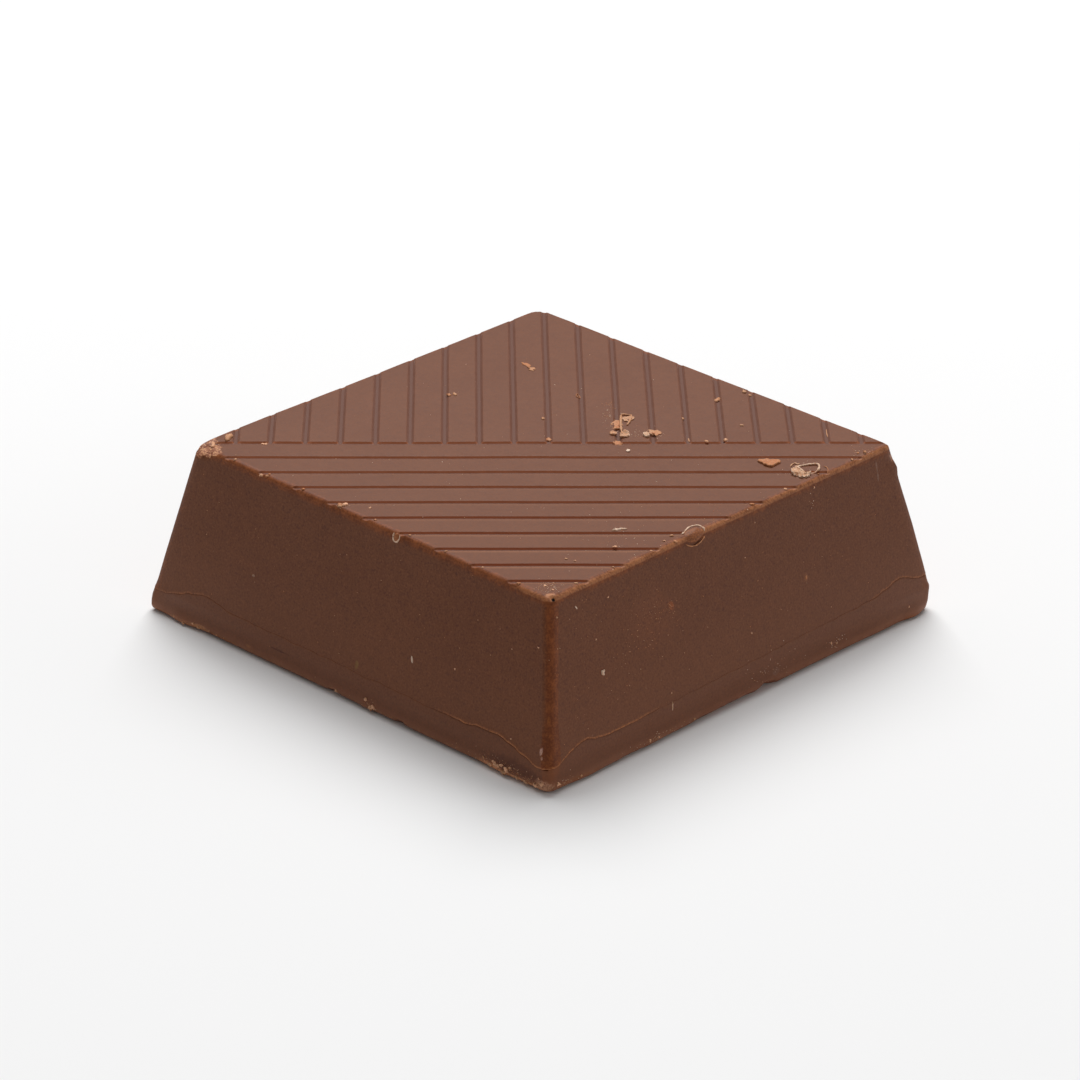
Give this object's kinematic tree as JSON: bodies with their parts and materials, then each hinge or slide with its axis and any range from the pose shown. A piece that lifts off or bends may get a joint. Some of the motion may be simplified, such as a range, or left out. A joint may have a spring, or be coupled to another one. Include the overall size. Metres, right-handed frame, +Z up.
{
  "type": "chocolate bonbon",
  "caption": "Moulded chocolate bonbon: a low square frustum whose top has fine grooves that turn at a diagonal, with a thin layer of chocolate closing its base.",
  "frame": {"origin": "centre of the flat base, on the surface that the bonbon rests on", "axes": "+Z up; the square's sides lie along X and Y; the diagonal at which the grooves turn runs from the (-X, -Y) corner to the (+X, +Y) corner, and the picture looks from the (+X, -Y) corner"},
  "size_m": [0.03, 0.03, 0.01],
  "materials": {
    "milk_chocolate": "satin, as chocolate sets against a mould; paler and crumbly where an edge is knocked",
    "base_chocolate": "matt, a little darker than the moulded body"
  },
  "bodies": {
    "root": {"moulded_body": "milk_chocolate", "base_layer": "base_chocolate"}
  },
  "joints": []
}
